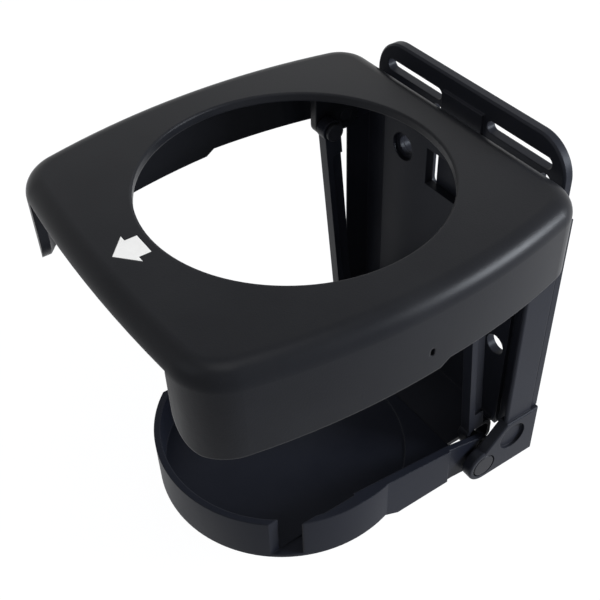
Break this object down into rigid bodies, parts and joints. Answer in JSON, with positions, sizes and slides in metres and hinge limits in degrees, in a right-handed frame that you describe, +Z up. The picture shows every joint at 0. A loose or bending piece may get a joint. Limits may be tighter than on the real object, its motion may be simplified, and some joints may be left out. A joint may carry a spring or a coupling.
{
  "type": "folding cup holder",
  "caption": "Folding black plastic cup holder: a square-shouldered ring over a shallow round tray, tied by links to a hinged back with a slotted mounting plate.",
  "frame": {"origin": "on the wall plane, the rear face of the mounting plate, at mid-width and level with the ring's top face", "axes": "+X to the right seen from the front, -Y to the front away from the wall, +Z up"},
  "size_m": [0.1026, 0.1088, 0.1043],
  "materials": {
    "black_plastic": "satin moulded",
    "dark_pin": "satin moulded",
    "white_print": "matt"
  },
  "bodies": {
    "base": {"mounting_plate": "black_plastic", "back_body": "black_plastic", "ring_hinge_pin_left": "dark_pin", "ring_hinge_pin_right": "dark_pin", "tray_hinge_pin_left": "dark_pin", "tray_hinge_pin_right": "dark_pin"},
    "ring": {"ring_cover": "black_plastic", "pull_arrow": "white_print", "link_upper_pin_left": "dark_pin", "link_upper_pin_right": "dark_pin"},
    "tray": {"tray": "black_plastic", "link_lower_pin_left": "dark_pin", "link_lower_pin_right": "dark_pin"},
    "link_left": {"link_left": "black_plastic"},
    "link_right": {"link_right": "black_plastic"}
  },
  "joints": [
    {"name": "ring_hinge", "type": "hinge", "parent": "base", "child": "ring", "pos_m": [0, -0.0158, -0.0142], "axis": [1, 0, 0], "range_deg": [0, 90]},
    {"name": "tray_hinge", "type": "hinge", "parent": "base", "child": "tray", "pos_m": [0, -0.0193, -0.0935], "axis": [-1, 0, 0], "range_deg": [0, 90]},
    {"name": "link_left_hinge", "type": "hinge", "parent": "ring", "child": "link_left", "pos_m": [-0.03065, -0.0229, -0.0147], "axis": [-1, 0, 0], "range_deg": [0, 94]},
    {"name": "link_right_hinge", "type": "hinge", "parent": "ring", "child": "link_right", "pos_m": [0.03065, -0.0229, -0.0147], "axis": [-1, 0, 0], "range_deg": [0, 94]}
  ],
  "couplings": [
    {"joint": "tray_hinge", "follows": "ring_hinge", "ratio": 1},
    {"joint": "link_left_hinge", "follows": "ring_hinge", "ratio": 1.0444},
    {"joint": "link_right_hinge", "follows": "ring_hinge", "ratio": 1.0444}
  ]
}
